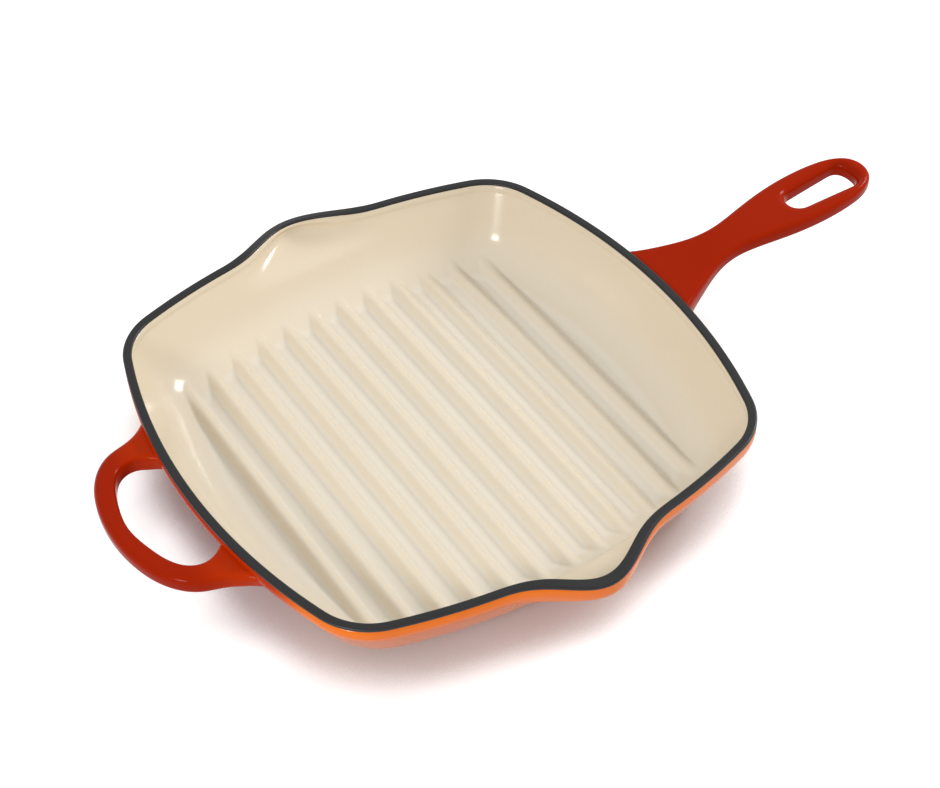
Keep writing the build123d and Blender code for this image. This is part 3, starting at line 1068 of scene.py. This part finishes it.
@dataclass
class Handle:
    """A handle drawn by half sections from its root in the wall to its tip, and mirrored.

    Sizes are in millimetres. A section runs from the hole, or the middle, out to the edge.
    """

    name: str
    edge_radius: float
    mouth_radius: float
    under_radius: float
    bowl: BowlShape = BowlShape()
    across: int = 30
    root_inset: float = 127.8
    lean_height: float = 36.2
    lean_run: float = 7.0

    def outline(self) -> np.ndarray:
        """Half outline from the root to the tip."""
        raise NotImplementedError

    def hole(self) -> np.ndarray:
        """Half outline of the hole."""
        raise NotImplementedError

    def sections(self) -> Pair:
        """Inner and outer end of each section, from the root to the tip."""
        raise NotImplementedError

    def faces(self, x: np.ndarray) -> Pair:
        """Heights of the top and the underside at places along X."""
        raise NotImplementedError

    def _bow(self, y: np.ndarray) -> np.ndarray:
        """How far the bowed wall falls back at a distance from the X axis."""
        return y**2 / (2.0 * self.bowl.bow_radius_x)

    @staticmethod
    def _distance(places: np.ndarray, curve: np.ndarray) -> np.ndarray:
        """Distance of places from a curve of short straight steps.

        Args:
            places: places by section, station and axis.
            curve: the curve's points.
        Returns:
            The distance of each place.
        """
        start, step = curve[:-1], np.diff(curve, axis=0)
        square = (step**2).sum(axis=1)
        rows = []
        for row in places:
            offset = row[:, None, :] - start
            share = np.clip((offset * step).sum(axis=2) / square, 0.0, 1.0)
            gap = offset - share[:, :, None] * step
            rows.append(np.sqrt((gap**2).sum(axis=2).min(axis=1)))
        return np.stack(rows)

    def _form(self) -> bmesh.types.BMesh:
        """Draw the whole handle, closed.

        Returns:
            The mesh in millimetres, over the enamel.
        """
        near, far = self.sections()
        places = near[:, None, :] + (far - near)[:, None, :] * eased(self.across + 1)[None, :, None]
        top, under = self.faces(places[:, :, 0])
        from_edge = self._distance(places, self.outline())
        from_hole = self._distance(places, self.hole())
        edge = rounding(from_edge, self.edge_radius)
        top = top - edge - rounding(from_hole, self.mouth_radius)
        under = under + edge + rounding(from_hole, self.under_radius)
        upper = np.concatenate([places, top[:, :, None]], axis=2)
        lower = np.concatenate([places, under[:, :, None]], axis=2)[:, ::-1]
        loops = np.concatenate([upper, lower, upper[:, :1]], axis=1)
        # A row at half height closes the buried end
        ridge = loops[:1].copy()
        half = (top[0] + under[0]) / 2.0
        ridge[0, :, 2] = np.concatenate([half, half[::-1], half[:1]])
        loops = np.concatenate([ridge, loops])
        # Close to the bowl the handle leans in with the wall
        x, y, z = loops[:, :, 0], loops[:, :, 1], loops[:, :, 2]
        from_wall = np.abs(x) + self._bow(y) - self.root_inset
        lean = np.clip(self.lean_height - z, 0.0, None) * math.tan(self.bowl.wall_lean)
        loops[:, :, 0] -= np.sign(x) * lean * np.clip(1.0 - from_wall / self.lean_run, 0.0, 1.0)
        bm = bmesh.new()
        laid_grid(bm, loops)
        bmesh.ops.remove_doubles(bm, verts=bm.verts, dist=MERGE)
        middle = [face for face in bm.faces if all(abs(vert.co.y) < MERGE for vert in face.verts)]
        bmesh.ops.delete(bm, geom=middle, context="FACES")
        bmesh.ops.mirror(bm, geom=bm.verts[:] + bm.edges[:] + bm.faces[:], axis="Y", merge_dist=MERGE)
        bmesh.ops.remove_doubles(bm, verts=bm.verts, dist=MERGE)
        bmesh.ops.recalc_face_normals(bm, faces=bm.faces)
        return bm

    def skin(self) -> bpy.types.Object:
        """Enamel round the handle, closed against the iron.

        Returns:
            The linked object.
        """
        bm = self._form()
        bm.normal_update()
        copy = bmesh.ops.duplicate(bm, geom=bm.verts[:] + bm.edges[:] + bm.faces[:])["geom"]
        for part in copy:
            if isinstance(part, bmesh.types.BMVert):
                part.co -= part.normal * self.bowl.coat
        bmesh.ops.reverse_faces(bm, faces=[part for part in copy if isinstance(part, bmesh.types.BMFace)])
        return finished_object(bm, f"{self.name}_skin")

    def casting(self) -> bpy.types.Object:
        """Iron within the enamel.

        Returns:
            The linked object.
        """
        bm = self._form()
        bm.normal_update()
        for vert in bm.verts:
            vert.co -= vert.normal * self.bowl.coat
        return finished_object(bm, f"{self.name}_iron")


@dataclass
class LongHandle(Handle):
    """Waisted handle that rises to a broad end with a hanging slot."""

    name: str = "long_handle"
    edge_radius: float = 3.0
    mouth_radius: float = 4.6
    under_radius: float = 1.0
    reach: float = 259.5
    root_x: float = 116.0
    root_top: float = 40.1
    rise: float = 15.1
    thickness: float = 8.4
    thickening: float = 7.1
    hole_start: float = 211.0
    hole_end: float = 251.0
    hole_narrow: float = 6.3
    hole_wide: float = 9.0
    hole_inner_run: float = 6.5
    hole_outer_run: float = 7.0
    hole_squareness: float = 2.4
    root_stations: int = 70
    slot_stations: int = 110
    tip_stations: int = 36
    # How many times sooner than the slot the bow of the first sections ends
    bow_fade: float = 6.0
    plan: tuple[tuple[float, float], ...] = (
        (116.0, 36.6), (130.8, 24.8), (145.6, 17.2), (157.5, 12.3), (169.2, 10.3), (183.0, 11.9),
        (200.0, 15.1), (220.0, 17.0), (238.0, 16.2), (250.0, 13.2), (257.2, 7.6), (259.5, 0.0),
    )
    rise_shares: tuple[tuple[float, float], ...] = (
        (0.0, 0.0), (0.206, 0.24), (0.371, 0.538), (0.619, 0.789), (0.866, 0.942), (1.0, 1.0),
    )
    thickening_shares: tuple[float, ...] = (1.0, 0.25, 0.0, 0.0, 0.0, 0.0)

    def outline(self) -> np.ndarray:
        """Half outline from the root to the tip."""
        return half_outline(self.plan)

    def _hole_half_width(self, x: np.ndarray) -> np.ndarray:
        """Half width of the slot, whose ends are rounded.

        Args:
            x: places along X, within the slot.
        Returns:
            The half width at each place.
        """
        share = (x - self.hole_start) / (self.hole_end - self.hole_start)
        width = self.hole_narrow + (self.hole_wide - self.hole_narrow) * np.clip(share, 0.0, 1.0)
        power = self.hole_squareness
        start = np.clip(1.0 - (x - self.hole_start) / self.hole_inner_run, 0.0, 1.0)
        end = np.clip(1.0 - (self.hole_end - x) / self.hole_outer_run, 0.0, 1.0)
        return width * (1.0 - start**power) ** (1.0 / power) * (1.0 - end**power) ** (1.0 / power)

    def hole(self) -> np.ndarray:
        """Half outline of the slot."""
        x = self.hole_start + (self.hole_end - self.hole_start) * eased(CURVE_POINTS)
        return np.stack([x, self._hole_half_width(x)], axis=1)

    def sections(self) -> Pair:
        """Inner and outer end of each section, square to the X axis.

        Returns:
            Both ends, from the root to the tip.
        """
        to_slot = np.linspace(self.root_inset, self.hole_start, self.root_stations)
        in_slot = self.hole_start + (self.hole_end - self.hole_start) * eased(self.slot_stations)
        quarter = np.linspace(0.0, math.pi / 2.0, self.tip_stations)
        to_tip = self.hole_end + (self.reach - self.hole_end) * np.sin(quarter)
        x = np.concatenate([to_slot, in_slot[1:], to_tip[1:]])
        outline = self.outline()
        width = np.interp(x, outline[:, 0], outline[:, 1])
        inner = np.where((x > self.hole_start) & (x < self.hole_end), self._hole_half_width(x), 0.0)
        # The first sections bow with the wall that they are buried in
        along = (x - self.root_inset) / (self.hole_start - self.root_inset)
        back = self._bow(width) * np.clip(1.0 - along * self.bow_fade, 0.0, 1.0)
        return np.stack([x, inner], axis=1), np.stack([x - back, width], axis=1)

    def faces(self, x: np.ndarray) -> Pair:
        """Heights of the top and the underside.

        Args:
            x: places along X.
        Returns:
            Both heights at each place.
        """
        run, rise = self.reach - self.root_x, self.rise
        top = [(self.root_x + at * run, self.root_top + share * rise) for at, share in self.rise_shares]
        under = []
        for (at, z), share in zip(top, self.thickening_shares):
            under.append((at, z - self.thickness - share * self.thickening))
        top_curve, under_curve = smooth_curve(top), smooth_curve(under)
        return np.interp(x, *top_curve.T), np.interp(x, *under_curve.T)


@dataclass
class HelperHandle(Handle):
    """Flat bar bent into a bow, whose hole opens onto the wall."""

    name: str = "helper_handle"
    edge_radius: float = 3.6
    mouth_radius: float = 2.4
    under_radius: float = 1.6
    centre: float = -142.0
    root_x: float = -115.0
    reach: float = -166.5
    root_top: float = 37.8
    tip_top: float = 40.8
    thickness: float = 9.4
    stations: int = 170
    root_points: int = 200
    plan: tuple[tuple[float, float], ...] = (
        (-120.3, 61.5), (-126.5, 54.6), (-134.5, 49.4), (-146.3, 45.4), (-157.4, 35.4), (-164.0, 20.0),
        (-166.5, 0.0),
    )
    hole_plan: tuple[tuple[float, float], ...] = (
        (-124.6, 25.5), (-128.0, 29.4), (-132.0, 33.0), (-138.5, 35.7), (-145.0, 34.0), (-150.3, 28.3),
        (-155.0, 16.5), (-157.9, 0.0),
    )

    def outline(self) -> np.ndarray:
        """Half outline from the root to the tip."""
        return half_outline(self.plan)

    def hole(self) -> np.ndarray:
        """Half outline of the hole."""
        return half_outline(self.hole_plan)

    def _root(self) -> np.ndarray:
        """Line inside the wall, from the hole's mouth to the outline."""
        y = np.linspace(self.hole_plan[0][1], self.plan[0][1], self.root_points)
        return np.stack([self._bow(y) - self.root_inset, y], axis=1)

    def sections(self) -> Pair:
        """Inner and outer end of each section, which fan out from a point in the hole.

        Returns:
            Both ends, from the root to the tip.
        """
        middle = np.array([self.centre, 0.0])
        inner, outer = self.hole(), np.concatenate([self._root(), self.outline()])
        ends = []
        start = max(math.atan2(curve[0, 1], curve[0, 0] - self.centre) for curve in (inner, outer))
        aim = np.linspace(start, math.pi, self.stations)
        for curve in (inner, outer):
            angle = np.arctan2(curve[:, 1], curve[:, 0] - self.centre)
            order = np.argsort(angle)
            far = np.interp(aim, angle[order], np.hypot(*(curve - middle).T)[order])
            ends.append(middle + np.stack([np.cos(aim), np.sin(aim)], axis=1) * far[:, None])
        ends[0][-1, 1] = ends[1][-1, 1] = 0.0
        return ends[0], ends[1]

    def faces(self, x: np.ndarray) -> Pair:
        """Heights of the top and the underside.

        Args:
            x: places along X.
        Returns:
            Both heights at each place.
        """
        share = (x - self.root_x) / (self.reach - self.root_x)
        top = self.root_top + (self.tip_top - self.root_top) * share
        return top, top - self.thickness


@dataclass(frozen=True)
class SoftBox:
    """A square lamp that faces a point of the pan, with sizes in metres and watts."""

    name: str
    place: Place
    size: float
    power: float
    aim: Place = (0.0, 0.0, 0.02)

    def light(self) -> bpy.types.Object:
        """Make and aim the lamp.

        Returns:
            The linked lamp.
        """
        data = bpy.data.lights.new(self.name, "AREA")
        data.shape = "SQUARE"
        data.size = self.size
        data.energy = self.power
        lamp = bpy.data.objects.new(self.name, data)
        lamp.location = self.place
        lamp.rotation_euler = (Vector(self.aim) - Vector(self.place)).to_track_quat("-Z", "Y").to_euler()
        bpy.context.scene.collection.objects.link(lamp)
        return lamp


@dataclass
class Studio:
    """Floor, lamps, world and camera, in metres."""

    floor_half_size: float = 4.0
    floor_cells: int = 2
    world_light: float = 0.72
    world_seen: float = 1.0
    lens_mm: float = 75.71
    sensor_mm: float = 36.0
    far_clip: float = 50.0
    camera_place: Place = (-0.3313, -0.5672, 0.6872)
    camera_right: Place = (0.8398, -0.5425, -0.0194)
    camera_down: Place = (-0.3948, -0.5858, -0.7078)
    camera_forward: Place = (0.3726, 0.6021, -0.7061)
    boxes: tuple[SoftBox, ...] = (
        SoftBox("left box", (-0.86, -0.46, 0.60), 0.24, 4.2),
        SoftBox("right box", (1.02, -0.04, 0.60), 0.32, 6.5),
    )

    def floor(self) -> bpy.types.Object:
        """White floor under the pan.

        Returns:
            The linked floor.
        """
        bm = bmesh.new()
        cells = self.floor_cells
        bmesh.ops.create_grid(bm, x_segments=cells, y_segments=cells, size=self.floor_half_size)
        floor = finished_object(bm, "floor", 1.0)
        floor.data.materials.append(PaleFloor().material())
        return floor

    def world(self) -> None:
        """Plain white surroundings."""
        world = bpy.data.worlds.new("studio")
        bpy.context.scene.world = world
        graph = Graph(world)
        seen = graph.seen_by("Is Camera Ray")
        strength = self.world_light + seen * (self.world_seen - self.world_light)
        light = graph.add("ShaderNodeBackground", values={"Color": WHITE, "Strength": strength})
        graph.add("ShaderNodeOutputWorld", values={"Surface": light})

    def camera(self) -> bpy.types.Object:
        """Camera at the photograph's viewpoint.

        Returns:
            The linked camera.
        """
        data = bpy.data.cameras.new("camera")
        data.lens = self.lens_mm
        data.sensor_width = self.sensor_mm
        data.sensor_fit = "HORIZONTAL"
        data.clip_end = self.far_clip
        camera = bpy.data.objects.new("camera", data)
        columns = [Vector(self.camera_right), -Vector(self.camera_down), -Vector(self.camera_forward)]
        turn = Matrix([[column[row] for column in columns] for row in range(3)]).to_quaternion()
        camera.matrix_world = Matrix.Translation(self.camera_place) @ turn.to_matrix().to_4x4()
        bpy.context.scene.collection.objects.link(camera)
        bpy.context.scene.camera = camera
        return camera

    def build(self) -> None:
        """Set up everything round the pan."""
        self.camera()
        self.floor()
        self.world()
        for box in self.boxes:
            box.light()
        bpy.context.scene.view_settings.view_transform = "Standard"


def main() -> None:
    """Build the pan's pieces in order and set the studio round them."""
    logging.basicConfig(level=logging.INFO, format="%(name)s: %(message)s")
    flame = FlameEnamel().material()
    iron = CastIron().material()
    bowl = Bowl()
    dress(bowl.outer_wall(), flame, Slot.FLAME, "outer_enamel")
    dress(bowl.rim(), BlackEnamel().material(), Slot.BLACK, "rim_enamel")
    dress(bowl.cooking_side(), CreamEnamel().material(), Slot.CREAM, "inner_enamel")
    dress(bowl.casting(), iron, Slot.IRON, "bowl_casting")
    for handle in (LongHandle(), HelperHandle()):
        dress(handle.skin(), flame, Slot.FLAME, f"{handle.name}_enamel")
        dress(handle.casting(), iron, Slot.IRON, f"{handle.name}_casting")
    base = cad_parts["base_enamel"]
    base.data.materials.clear()
    base.data.materials.append(flame)
    log.info("%s: kept from the frame", base.name)
    Studio().build()


if __name__ == "__main__":
    main()
